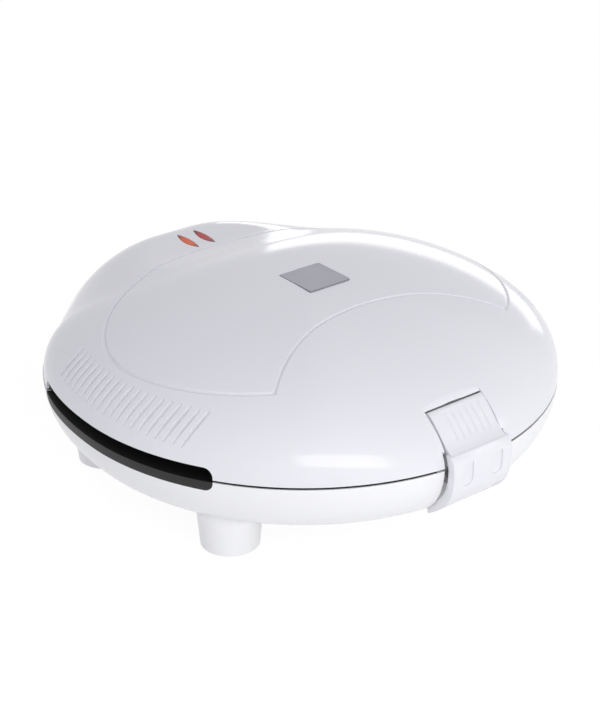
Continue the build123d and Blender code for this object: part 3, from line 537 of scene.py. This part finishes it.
def ventTree():
    # repeats one blade in a fan along the rim and lays each of its points on the lid skin
    fanInputs = ("Side", "Inner First", "Inner Last", "Outer First", "Outer Last", "Inner Radius",
                 "Outer Radius", "Outer Radius End")
    tree, inputs = startTree("ventFan", {"Blade": "Geometry", "Skin": "Object", "Finish": "Material",
                                         "Count": "Int", **dict.fromkeys(fanInputs, "Float")})
    gaps = addNode(tree, "ShaderNodeMath", {"operation": "SUBTRACT", 1: 1.0}, {0: inputs["Count"]}).outputs[0]
    index = addNode(tree, "GeometryNodeInputIndex").outputs[0]
    share = addNode(tree, "ShaderNodeMath", {"operation": "DIVIDE"}, {0: index, 1: gaps}).outputs[0]
    row = addNode(tree, "GeometryNodeMeshLine", links={"Count": inputs["Count"]}).outputs[0]
    row = addNode(tree, "GeometryNodeStoreNamedAttribute", {"data_type": "FLOAT", "Name": "share"},
                  {"Geometry": row, "Value": share}).outputs[0]
    place = addNode(tree, "GeometryNodeInputPosition").outputs[0]
    blade = addNode(tree, "GeometryNodeStoreNamedAttribute", {"data_type": "FLOAT_VECTOR", "Name": "own"},
                    {"Geometry": inputs["Blade"], "Value": place}).outputs[0]
    fan = addNode(tree, "GeometryNodeInstanceOnPoints", links={"Points": row, "Instance": blade}).outputs[0]
    fan = addNode(tree, "GeometryNodeRealizeInstances", links={0: fan}).outputs[0]
    # a blade's own X is its way outwards from 0 to 1, its Y lies across it and its Z stands on the skin
    own = addNode(tree, "GeometryNodeInputNamedAttribute", {"data_type": "FLOAT_VECTOR", "Name": "own"})
    own = addNode(tree, "ShaderNodeSeparateXYZ", links={0: own.outputs[0]}).outputs
    share = addNode(tree, "GeometryNodeInputNamedAttribute",
                    {"data_type": "FLOAT", "Name": "share"}).outputs[0]
    start = addNode(tree, "ShaderNodeMapRange", links={
        "Value": share, "To Min": inputs["Inner First"], "To Max": inputs["Inner Last"]}).outputs["Result"]
    end = addNode(tree, "ShaderNodeMapRange", links={
        "Value": share, "To Min": inputs["Outer First"], "To Max": inputs["Outer Last"]}).outputs["Result"]
    turn = addNode(tree, "ShaderNodeMapRange",
                   links={"Value": own["X"], "To Min": start, "To Max": end}).outputs["Result"]
    reach = addNode(tree, "ShaderNodeMapRange", links={
        "Value": share, "To Min": inputs["Outer Radius"],
        "To Max": inputs["Outer Radius End"]}).outputs["Result"]
    radius = addNode(tree, "ShaderNodeMapRange", links={
        "Value": own["X"], "To Min": inputs["Inner Radius"], "To Max": reach}).outputs["Result"]
    sine = addNode(tree, "ShaderNodeMath", {"operation": "SINE"}, {0: turn}).outputs[0]
    cosine = addNode(tree, "ShaderNodeMath", {"operation": "COSINE"}, {0: turn}).outputs[0]
    x = addNode(tree, "ShaderNodeMath", {"operation": "MULTIPLY"}, {0: sine, 1: inputs["Side"]}).outputs[0]
    y = addNode(tree, "ShaderNodeMath", {"operation": "MULTIPLY", 1: -1.0}, {0: cosine}).outputs[0]
    radial = addNode(tree, "ShaderNodeCombineXYZ", links={"X": x, "Y": y}).outputs[0]
    above = addNode(tree, "ShaderNodeVectorMath", {"operation": "SCALE"},
                    {0: radial, "Scale": radius}).outputs[0]
    above = addNode(tree, "ShaderNodeVectorMath", {"operation": "ADD", 1: (0, 0, 110 * mm)},
                    {0: above}).outputs[0]
    skin = addNode(tree, "GeometryNodeObjectInfo", links={"Object": inputs["Skin"]}).outputs["Geometry"]
    hit = addNode(tree, "GeometryNodeRaycast", {"Ray Direction": (0, 0, -1), "Ray Length": 80 * mm},
                  {"Target Geometry": skin, "Source Position": above}).outputs
    front = addNode(tree, "ShaderNodeVectorMath", {"operation": "CROSS_PRODUCT"},
                    {0: hit["Hit Normal"], 1: radial}).outputs[0]
    front = addNode(tree, "ShaderNodeVectorMath", {"operation": "SCALE"},
                    {0: front, "Scale": inputs["Side"]}).outputs[0]
    front = addNode(tree, "ShaderNodeVectorMath", {"operation": "NORMALIZE"}, {0: front}).outputs[0]
    across = addNode(tree, "ShaderNodeVectorMath", {"operation": "SCALE"},
                     {0: front, "Scale": own["Y"]}).outputs[0]
    lift = addNode(tree, "ShaderNodeVectorMath", {"operation": "SCALE"},
                   {0: hit["Hit Normal"], "Scale": own["Z"]}).outputs[0]
    offset = addNode(tree, "ShaderNodeVectorMath", {"operation": "ADD"}, {0: across, 1: lift}).outputs[0]
    spot = addNode(tree, "ShaderNodeVectorMath", {"operation": "ADD"},
                   {0: hit["Hit Position"], 1: offset}).outputs[0]
    laid = addNode(tree, "GeometryNodeSetPosition", links={"Geometry": fan, "Position": spot})
    endTree(tree, laid.outputs[0], inputs["Finish"])
    return tree


def ventTool(side, tree):
    # one blade: a narrow slot with a steep wall in front and a ramp behind, thinning out at both ends
    v = ventFan
    steps = v["steps"]
    verts = []
    for step in range(steps + 1):
        t = step / steps
        thin = math.sin(math.pi * (0.06 + 0.88 * t)) ** 0.6
        for across, lift in ((v["slot"], 2.0), (v["slot"], -v["depth"] * thin),
                             (-v["slot"] * 0.3, -v["depth"] * thin), (-v["ramp"] * thin, 0.02),
                             (-v["ramp"] * thin, 2.0)):
            verts.append((t, across * mm, lift * mm))
    faces = [list(range(5)), [5 * steps + i for i in reversed(range(5))]]
    for a in range(0, 5 * steps, 5):
        faces += [[a + i, a + 5 + i, a + 5 + (i + 1) % 5, a + (i + 1) % 5] for i in range(5)]
    tool = meshPiece("ventTool", verts, faces, None, None, scale=1.0)
    runTree(tool, tree, {
        "Skin": lidOuter, "Finish": whiteAbs, "Count": v["count"], "Side": float(side),
        "Inner First": math.radians(v["innerFirst"]), "Inner Last": math.radians(v["innerLast"]),
        "Outer First": math.radians(v["outerFirst"]), "Outer Last": math.radians(v["outerLast"]),
        "Inner Radius": v["inner"] * mm, "Outer Radius": v["outer"] * mm,
        "Outer Radius End": v["outerEnd"] * mm})
    fixNormals(tool)
    return tool


def pointedOval(side, grow, count=14):
    half = lamp["length"] / 2 + grow
    bulge = lamp["width"] / 2 + grow
    x = side * lamp["x"]
    a = threePointArc((x, lamp["y"] - half), (x + bulge, lamp["y"]), (x, lamp["y"] + half), count)
    b = threePointArc((x, lamp["y"] + half), (x - bulge, lamp["y"]), (x, lamp["y"] - half), count)
    return a + b


gripSlot = {"start": 57.0, "end": 114.0, "top": 55.13, "corner": 4.5, "cornerSteps": 6, "steps": 40,
            "inner": 108.0, "outer": 134.0, "drop": 8.0}


def gripTool(side):
    # a slot along the rim with a rounded upper corner at each end, seen along the radius
    g = gripSlot
    span = math.radians(g["end"] - g["start"])
    cornerTurn = g["corner"] / lidForm["radius"]
    turns, levels = [], []
    for i in range(g["cornerSteps"] + 1):
        t = 0.5 * math.pi * i / g["cornerSteps"]
        turns.append(cornerTurn * (1 - math.cos(t)))
        levels.append(g["top"] - g["corner"] + g["corner"] * math.sin(t))
    middle = [cornerTurn + (span - 2 * cornerTurn) * i / g["steps"] for i in range(1, g["steps"])]
    turns = turns + middle + [span - t for t in reversed(turns)]
    levels = levels + [g["top"]] * len(middle) + list(reversed(levels))
    verts, faces = [], []
    for t, top in zip(turns, levels):
        a = math.radians(g["start"]) + t
        for radius in (g["inner"], g["outer"]):
            x, y = side * radius * math.sin(a), -radius * math.cos(a)
            verts += [(x, y, lidForm["bottom"] - g["drop"]), (x, y, top)]
    n = len(turns)
    for i in range(n - 1):
        a, b = 4 * i, 4 * (i + 1)
        faces += [[a, b, b + 1, a + 1], [a + 3, b + 3, b + 2, a + 2], [a + 1, b + 1, b + 3, a + 3],
                  [a + 2, b + 2, b, a]]
    faces += [[0, 1, 3, 2], [4 * n - 4, 4 * n - 2, 4 * n - 1, 4 * n - 3]]
    tool = meshPiece("gripTool", verts, faces, None, None)
    fixNormals(tool)
    return tool


def formNormals(piece, distance, normalOf, tolerance, degrees=30):
    # shades what lies on the moulded form by the form itself, and the rest by its faces
    data = piece.data
    smoothByAngle(piece, degrees)
    data.update()
    co = np.empty(len(data.vertices) * 3)
    data.vertices.foreach_get("co", co)
    co = co.reshape(-1, 3) / mm
    near = np.abs(distance(co[:, 0], co[:, 1], co[:, 2])) < tolerance
    formal = normalOf(co[:, 0], co[:, 1], co[:, 2])
    corners = np.empty(len(data.loops) * 3, dtype=np.float32)
    data.corner_normals.foreach_get("vector", corners)
    corners = corners.reshape(-1, 3)
    for face in data.polygons:
        ids = list(face.vertices)
        if near[ids].all():
            f = formal[ids].mean(0)
            if float(np.dot(f, np.array(face.normal))) > 0.9 * np.linalg.norm(f):
                for loop, vertex in zip(face.loop_indices, ids):
                    corners[loop] = formal[vertex]
    data.normals_split_custom_set([tuple(c) for c in corners])


skinVerts, skinFaces = lidSkin()
lidOuter = meshPiece("lidSkin", skinVerts, skinFaces, None, whiteAbs)
fixNormals(lidOuter)
half = badge["side"] / 2
badgeOutline = [(x, badge["y"] + y) for x, y in ((-half, -half), (half, -half), (half, half), (-half, half))]
fanTree = ventTree()
tools = [prism("pocketTool", [(y, z + seam) for y, z in latchPocket["outline"]], latchPocket["half"], "yz"),
         prism("hookTool", [(y, z + seam) for y, z in latchPocket["hookOutline"]], latchPocket["hookHalf"],
               "yz"),
         prism("badgeTool", badgeOutline, (badge["floor"], 110), "xy"),
         gripTool(-1), gripTool(1), ventTool(-1, fanTree), ventTool(1, fanTree),
         grooveTool(panelOutline(), panelLine)]
tools += [prism("lampTool", pointedOval(side, lamp["play"]), (70, 110), "xy") for side in (-1, 1)]
cutAway(lidOuter, tools)
formNormals(lidOuter, lidDistance, lidNormal, 0.06)
print("lid skin:", len(lidOuter.data.polygons), "faces")

# inside of the lid

lidInside = {"wall": 2.6, "slack": 0.4, "outerSlack": 0.2, "latchHalf": 24.0, "latchRear": -98.0,
             "above": 0.05, "tuckFrom": 49.7, "tuck": 0.7, "tuckSteps": 2}


def packedDistance(place, inset=0.0):
    deck = float(deckDistance(*place, packedDeck, inset)) if place[1] > 0 else 1e3
    return min(float(domeDistance(*place, inset=inset)), deck)


def lidInsidePiece():
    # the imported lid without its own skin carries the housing, webs and barrel, tucked in under the shown skin
    f = lidInside
    piece = copyOf("lid_shell", "lidInside", "lid", whiteAbs)
    work = bmesh.new()
    work.from_mesh(piece.data)
    drop = []
    for face in work.faces:
        c = [v / mm for v in face.calc_center_median()]
        outer = packedDistance(c)
        inner = packedDistance(c, f["wall"])
        inWall = outer > -f["slack"] or abs(inner) < f["slack"] or (outer > -f["wall"] and inner > 0)
        nearLatch = abs(c[0]) < f["latchHalf"] and c[1] < f["latchRear"]
        if c[2] > lidForm["bottom"] + f["above"] and (outer > -f["outerSlack"] or (inWall and not nearLatch)):
            drop.append(face)
    bmesh.ops.delete(work, geom=drop, context="FACES")
    for vert in work.verts:
        if vert.co.z > f["tuckFrom"] * mm:
            for _ in range(f["tuckSteps"]):
                c = [np.array([v / mm]) for v in vert.co]
                deep = float(lidDistance(*c)[0])
                if deep > -f["tuck"]:
                    vert.co -= Vector(lidNormal(*c)[0]) * ((deep + f["tuck"]) * mm)
    work.to_mesh(piece.data)
    work.free()
    flareOut(piece)
    print("lid inside: dropped", len(drop), "faces")


lidInsidePiece()
flareOut(lidOuter)
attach(lidOuter, "lid")
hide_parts("lid_shell")

# lamp lenses

lens = {"play": 0.1, "steps": 18, "shares": (1.0, 0.97, 0.85, 0.6, 0.3), "lift": 0.05, "crown": 0.12,
        "edgeDrop": 0.15}


def lensPiece(name, side, node, material):
    # a low crown over the skin with a sunk edge, closed down to the lens's seat
    ring = pointedOval(side, -lens["play"], lens["steps"])
    x0, y0 = side * lamp["x"], lamp["y"]
    verts = []
    for share in lens["shares"]:
        drop = lens["edgeDrop"] if share == 1 else 0
        lift = lens["lift"] + lens["crown"] * math.sqrt(max(0, 1 - share ** 4)) - drop
        for x, y in ring:
            px, py = x0 + (x - x0) * share, y0 + (y - y0) * share
            verts.append((px, py, float(lidLevel(px, py)[0]) + lift))
    verts.append((x0, y0, float(lidLevel(x0, y0)[0]) + lens["lift"] + lens["crown"]))
    n = len(ring)
    faces = []
    last = (len(lens["shares"]) - 1) * n
    for a in range(0, last, n):
        faces += [[a + i, a + (i + 1) % n, a + n + (i + 1) % n, a + n + i] for i in range(n)]
    faces += [[last + i, last + (i + 1) % n, len(verts) - 1] for i in range(n)]
    base = len(verts)
    verts += [(x, y, lamp["floor"]) for x, y in ring]
    faces += [[i, base + i, base + (i + 1) % n, (i + 1) % n] for i in range(n)]
    faces.append([base + i for i in reversed(range(n))])
    piece = meshPiece(name, verts, faces, "lid", material, [node])
    fixNormals(piece)
    smoothByAngle(piece, 40)


lensPiece("lensAmber", -1, "lamp_lens_amber", amberLens)
lensPiece("lensRed", 1, "lamp_lens_red", redLens)
print("lenses made")

# base

baseForm = {"flat": 104.0, "radius": 126.0, "top": 49.0, "depth": 29.0, "scale": 24.0}


def bowlDistance(x, y, z):
    r = np.hypot(x, y)
    out = np.maximum(r - baseForm["flat"], 0) / (baseForm["radius"] - baseForm["flat"])
    down = (baseForm["top"] - z) / baseForm["depth"]
    return (np.sqrt(out ** 2 + down ** 2) - 1) * baseForm["scale"]


def bowlNormal(x, y, z):
    step = 0.02
    n = np.stack([bowlDistance(x + step, y, z) - bowlDistance(x - step, y, z),
                  bowlDistance(x, y + step, z) - bowlDistance(x, y - step, z),
                  bowlDistance(x, y, z + step) - bowlDistance(x, y, z - step)], -1)
    return n / np.linalg.norm(n, axis=-1, keepdims=True)


# the lower shell takes the ABS painted a lighter white, as painted light for the stronger light on it
baseBody = copyOf("base_shell", "baseShell", "base", baseAbsPaintedLighter)
formNormals(baseBody, bowlDistance, bowlNormal, 0.08)
flareOut(baseBody)
print("base shaded")

for nodeName, body in (("upper_plate", "lid"), ("lower_plate", "base"), ("upper_ring", "lid"),
                       ("lower_ring", "base"), ("upper_grip_left", "lid"), ("upper_grip_right", "lid"),
                       ("lower_grip_left", "base"), ("lower_grip_right", "base"), ("cord_gland", "base"),
                       ("upper_heater", "lid"), ("lower_heater", "base"), ("latch_pin", "lid"),
                       ("hinge_pin_left", "base"), ("hinge_pin_right", "base")):
    smooth = copyOf(nodeName, nodeName + "Smooth", body, nodeFinish[nodeName])
    if "grip" in nodeName or "ring" in nodeName:
        flareOut(smooth)
for side in ("front_left", "rear_left", "front_right", "rear_right"):
    copyOf("foot_pad_" + side, "footPad_" + side, "base", rubberBlack)
print("packed pieces shaded")

flange = {"inner": 122.6, "outer": 125.35, "spans": ((10.2, 56.8), (114.4, 138.0)), "steps": 40,
          "lower": (48.41, 48.75), "upper": (49.25, 49.59)}


def ringFlange(name, body, low, high):
    # the dark frame ring turns out over the rim of its shell and darkens the seam
    count = flange["steps"]
    inner, outer = flange["inner"], flange["outer"]
    section = ((inner, low), (outer, low), (outer, high), (inner, high))
    verts, faces = [], []
    for start, end in flange["spans"]:
        for side in (-1, 1):
            first = len(verts)
            for i in range(count + 1):
                a = math.radians(start + (end - start) * i / count)
                verts += [(side * radius * math.sin(a), -radius * math.cos(a), z) for radius, z in section]
            faces += [[first, first + 1, first + 2, first + 3],
                      [first + 4 * count + i for i in (3, 2, 1, 0)]]
            for i in range(count):
                a = first + 4 * i
                faces += [[a + k, a + 4 + k, a + 4 + (k + 1) % 4, a + (k + 1) % 4] for k in range(4)]
    piece = meshPiece(name, verts, faces, body, bezelPa)
    fixNormals(piece)
    flareOut(piece)
    smoothByAngle(piece, 30)


ringFlange("lowerRingFlange", "base", *flange["lower"])
ringFlange("upperRingFlange", "lid", *flange["upper"])
print("ring flanges made")

# latch

latchForm = {"padHalf": 16.4, "hookHalf": 17.8, "nose": (-127.0, -114.0, -12.0, -8.3), "noseHalf": 11.5,
             "toe": (-117.2, -110.0, -30.0, -13.0), "toeHalf": 13.5, "pivot": (-117.5, 5.5), "boss": 3.4,
             "bossPlay": 0.05, "pin": 1.55, "pinHalf": 18.5, "coil": 3.0, "coilHalf": 5.5, "round": 0.35}
latchOuter = [(-108.5, 20.9), (-109.3, 21.6), (-110.6, 21.4), (-112.4, 20.0), (-114.4, 18.2), (-116.6, 16.0),
              (-118.8, 13.6), (-120.8, 11.4), (-122.6, 9.6), (-124.2, 8.4), (-125.6, 7.6)]
latchPlate = [(-124.2, 7.0), (-127.3, 6.8), (-128.6, 5.6), (-129.4, 3.6), (-129.9, 1.0),
              (-130.0, -2.0), (-129.9, -5.0), (-129.5, -8.4), (-128.7, -12.0), (-127.3, -15.4),
              (-125.2, -18.6), (-122.4, -21.6), (-119.0, -24.4), (-116.0, -26.5), (-113.6, -28.0),
              (-112.8, -22.6), (-115.2, -21.2), (-118.2, -19.2), (-121.2, -16.6), (-123.6, -13.4),
              (-125.2, -9.6), (-126.0, -5.0), (-126.2, 0.0), (-125.6, 2.5)]


latchInner = [(-127.0, 6.6), (-126.6, 0.5), (-124.0, 0.5), (-121.6, 2.2), (-120.2, 5.0), (-118.8, 8.4),
              (-116.6, 11.4), (-114.4, 14.2), (-112.0, 16.9), (-110.0, 18.8), (-108.4, 19.9)]
padGroove = {"count": 6, "first": -8.4, "pitch": 3.95, "width": 1.1, "depth": 0.55, "above": 1.5, "end": 0.1,
             "path": [(-110.9, 21.2), (-112.4, 20.0), (-114.4, 18.2), (-116.6, 16.0), (-118.8, 13.6),
                      (-120.8, 11.4), (-122.4, 9.8)]}
thumbPocket = {"x": 9.0, "half": 3.2, "top": 2.6, "low": -9.5, "depth": 0.7, "front": -134.0, "steps": 16}


def roundTool(name, radius, half, count=24):
    y0, z0 = latchForm["pivot"]
    turns = [2 * math.pi * i / count for i in range(count)]
    return prism(name, [(y0 + radius * math.cos(t), seam + z0 + radius * math.sin(t)) for t in turns], half,
                 "yz")


def boxTool(name, size, half):
    rear, front, low, high = size
    corners = ((rear, low), (front, low), (front, high), (rear, high))
    return prism(name, [(y, seam + z) for y, z in corners], half, "yz")


def grooveRow():
    # one groove down the pad, repeated across it; it runs out at both ends
    g = padGroove
    tree, inputs = startTree("padGrooves", {"Groove": "Geometry", "Finish": "Material", "Count": "Int",
                                            "Pitch": "Float"})
    offset = addNode(tree, "ShaderNodeCombineXYZ", links={"X": inputs["Pitch"]})
    row = addNode(tree, "GeometryNodeMeshLine", links={"Count": inputs["Count"], "Offset": offset.outputs[0]})
    grooves = addNode(tree, "GeometryNodeInstanceOnPoints",
                      links={"Points": row.outputs[0], "Instance": inputs["Groove"]})
    grooves = addNode(tree, "GeometryNodeRealizeInstances", links={0: grooves.outputs[0]})
    endTree(tree, grooves.outputs[0], inputs["Finish"])
    path = g["path"]
    last = len(path) - 1
    verts = []
    for k, (y, z) in enumerate(path):
        a = min(k, last - 1)
        dy, dz = path[a + 1][0] - path[a][0], path[a + 1][1] - path[a][1]
        size = math.hypot(dy, dz)
        for across, lift in ((-0.5, g["above"]), (0.5, g["above"]), (0.5, 0.0), (0.2, -g["depth"]),
                             (-0.2, -g["depth"]), (-0.5, 0.0)):
            deep = lift if 0 < k < last or lift > 0 else g["end"]
            verts.append((g["first"] + across * g["width"], y - abs(dz) / size * deep,
                          z + seam + abs(dy) / size * deep))
    faces = [list(range(6)), [6 * last + 5 - i for i in range(6)]]
    for a in range(0, 6 * last, 6):
        faces += [[a + i, a + 6 + i, a + 6 + (i + 1) % 6, a + (i + 1) % 6] for i in range(6)]
    tool = meshPiece("padGrooveTool", verts, faces, None, None)
    runTree(tool, tree, {"Finish": whiteAbs, "Count": g["count"], "Pitch": g["pitch"] * mm})
    fixNormals(tool)
    return tool


def thumbTool(x0):
    # a shallow pocket with a round lower end in the hook plate
    t = thumbPocket
    outline = [(x0 - t["half"], t["top"]), (x0 + t["half"], t["top"])]
    for i in range(t["steps"] + 1):
        a = math.pi * i / t["steps"]
        outline.append((x0 + t["half"] * math.cos(a), t["low"] + t["half"] - t["half"] * math.sin(a)))
    skin = latchPlate[10:3:-1]
    verts = []
    for x, z in outline:
        front = float(np.interp(z, [point[1] for point in skin], [point[0] for point in skin]))
        verts.append((x, front + t["depth"], z + seam))
    verts += [(x, t["front"], z + seam) for x, z in outline]
    n = len(outline)
    faces = [list(range(n)), [2 * n - 1 - i for i in range(n)]]
    faces += [[i, (i + 1) % n, n + (i + 1) % n, n + i] for i in range(n)]
    tool = meshPiece("thumbTool", verts, faces, None, None)
    work = bmesh.new()
    work.from_mesh(tool.data)
    bmesh.ops.triangulate(work, faces=work.faces)
    work.to_mesh(tool.data)
    work.free()
    fixNormals(tool)
    return tool


def latchPiece():
    # the pad and the hook plate are joined round the pivot, and everything else is cut into them
    f = latchForm
    body = prism("latchBody", [(y, z + seam) for y, z in latchOuter + latchInner], f["padHalf"], "yz")
    others = [prism("latchPlate", [(y, z + seam) for y, z in latchPlate], f["hookHalf"], "yz"),
              boxTool("latchNose", f["nose"], f["noseHalf"]),
              roundTool("latchBoss", f["boss"], f["padHalf"] - f["bossPlay"], 40)]
    for other in others:
        join = body.modifiers.new("join", "BOOLEAN")
        join.operation = "UNION"
        join.solver = "EXACT"
        join.object = other
    bakeModifiers(body)
    for other in others:
        bpy.data.objects.remove(other)
    cutAway(body, [boxTool("toeTool", f["toe"], f["toeHalf"]), roundTool("pinTool", f["pin"], f["pinHalf"]),
                   roundTool("coilTool", f["coil"], f["coilHalf"]), grooveRow(),
                   thumbTool(-thumbPocket["x"]), thumbTool(thumbPocket["x"])])
    body.name = "latchCover"
    body.data.materials.clear()
    body.data.materials.append(whiteAbs)
    soften = body.modifiers.new("edges", "BEVEL")
    soften.width = f["round"] * mm
    soften.segments = 2
    soften.limit_method = "ANGLE"
    soften.angle_limit = math.radians(40)
    bakeModifiers(body)
    smoothByAngle(body, 34)
    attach(body, "latch")
    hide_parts("latch")


latchPiece()
print("latch made")

# floor, light and camera


def seenDirectly(tree):
    # 1 for what the camera sees, straight or in gloss and glass, and 0 for the light that falls on the object
    path = addNode(tree, "ShaderNodeLightPath")
    mirrored = addNode(tree, "ShaderNodeMath", {"operation": "MAXIMUM"},
                       {0: path.outputs["Is Glossy Ray"], 1: path.outputs["Is Transmission Ray"]})
    return addNode(tree, "ShaderNodeMath", {"operation": "MAXIMUM"},
                   {0: path.outputs["Is Camera Ray"], 1: mirrored.outputs[0]}).outputs[0]


studio = {"floorHalf": 3000.0, "floorGlow": 1.05, "floorShare": 0.88, "sky": 0.6,
          "skyColour": (0.97, 0.975, 1.04, 1)}
lightBoxes = {  # place, target and size in metres, and power in watts
    "keyBox": ((-0.383, -1.053, 0.49), (-0.03, -0.08, 0.06), (0.85, 0.5), 5.2),
    "fillBox": ((1.0, -1.05, 0.62), (0.03, -0.05, 0.06), (0.6, 0.6), 2.4),
    "backBox": ((1.21, 0.88, 0.14), (0, 0, 0.09), (1.1, 0.32), 1.7)}


def stageFloor():
    # matt paper under even light: white to the edges of the picture, with a soft shadow under the object
    half = studio["floorHalf"]
    floor = meshPiece("floorSheet", [(-half, -half, 0), (half, -half, 0), (half, half, 0), (-half, half, 0)],
                      [[0, 1, 2, 3]], None, None)
    paper = bpy.data.materials.new("white studio paper")
    paper.use_nodes = True
    tree = paper.node_tree
    tree.nodes.clear()
    out = addNode(tree, "ShaderNodeOutputMaterial")
    diffuse = addNode(tree, "ShaderNodeBsdfDiffuse", {"Color": hexLinear("#ffffff")})
    glow = addNode(tree, "ShaderNodeEmission", {"Color": (1, 1, 1, 1), "Strength": studio["floorGlow"]})
    amount = addNode(tree, "ShaderNodeMath", {"operation": "MULTIPLY", 1: studio["floorShare"]},
                     {0: seenDirectly(tree)})
    mix = addNode(tree, "ShaderNodeMixShader",
                  links={0: amount.outputs[0], 1: diffuse.outputs[0], 2: glow.outputs[0]})
    tree.links.new(mix.outputs[0], out.inputs["Surface"])
    floor.data.materials.append(paper)
    floor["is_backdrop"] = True


def skyLight():
    world = bpy.data.worlds.new("studio")
    bpy.context.scene.world = world
    world.use_nodes = True
    tree = world.node_tree
    tree.nodes.clear()
    out = addNode(tree, "ShaderNodeOutputWorld")
    plain = addNode(tree, "ShaderNodeBackground", {"Color": studio["skyColour"], "Strength": studio["sky"]})
    white = addNode(tree, "ShaderNodeBackground", {"Color": (1, 1, 1, 1), "Strength": 1.0})
    mix = addNode(tree, "ShaderNodeMixShader",
                  links={0: seenDirectly(tree), 1: plain.outputs[0], 2: white.outputs[0]})
    tree.links.new(mix.outputs[0], out.inputs["Surface"])


def softbox(name, place, target, size, watts):
    light = bpy.data.lights.new(name, "AREA")
    light.shape = "RECTANGLE"
    light.size = size[0]
    light.size_y = size[1]
    light.energy = watts
    holder = bpy.data.objects.new(name, light)
    holder.location = place
    holder.rotation_euler = (Vector(target) - Vector(place)).to_track_quat("-Z", "Y").to_euler()
    bpy.context.scene.collection.objects.link(holder)


stageFloor()
skyLight()
for boxName, (place, target, size, watts) in lightBoxes.items():
    softbox(boxName, place, target, size, watts)

view = {"azimuth": -38.35, "elevation": 26.62, "distance": 0.9, "right": -0.0018, "up": 0.0001, "lens": 90.07}


def placeCamera():
    a, e = math.radians(view["azimuth"]), math.radians(view["elevation"])
    back = Vector((math.sin(a) * math.cos(e), -math.cos(a) * math.cos(e), math.sin(e)))
    right = Vector((math.cos(a), math.sin(a), 0))
    up = back.cross(right)
    lens = bpy.data.cameras.new("camera")
    lens.sensor_fit = "AUTO"
    lens.sensor_width = 36
    lens.lens = view["lens"]
    lens.clip_start = 0.01
    holder = bpy.data.objects.new("camera", lens)
    spot = back * view["distance"] + right * view["right"] + up * view["up"] + Vector((0, 0, seam * mm))
    holder.matrix_world = Matrix.Translation(spot) @ Matrix((right, up, back)).transposed().to_4x4()
    bpy.context.scene.collection.objects.link(holder)
    bpy.context.scene.camera = holder


placeCamera()
bpy.context.scene.view_settings.view_transform = "Standard"
print("stage, lights and camera set")

for box in (cadBox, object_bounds()):
    print("box", [[round(float(c), 5) for c in corner] for corner in box])
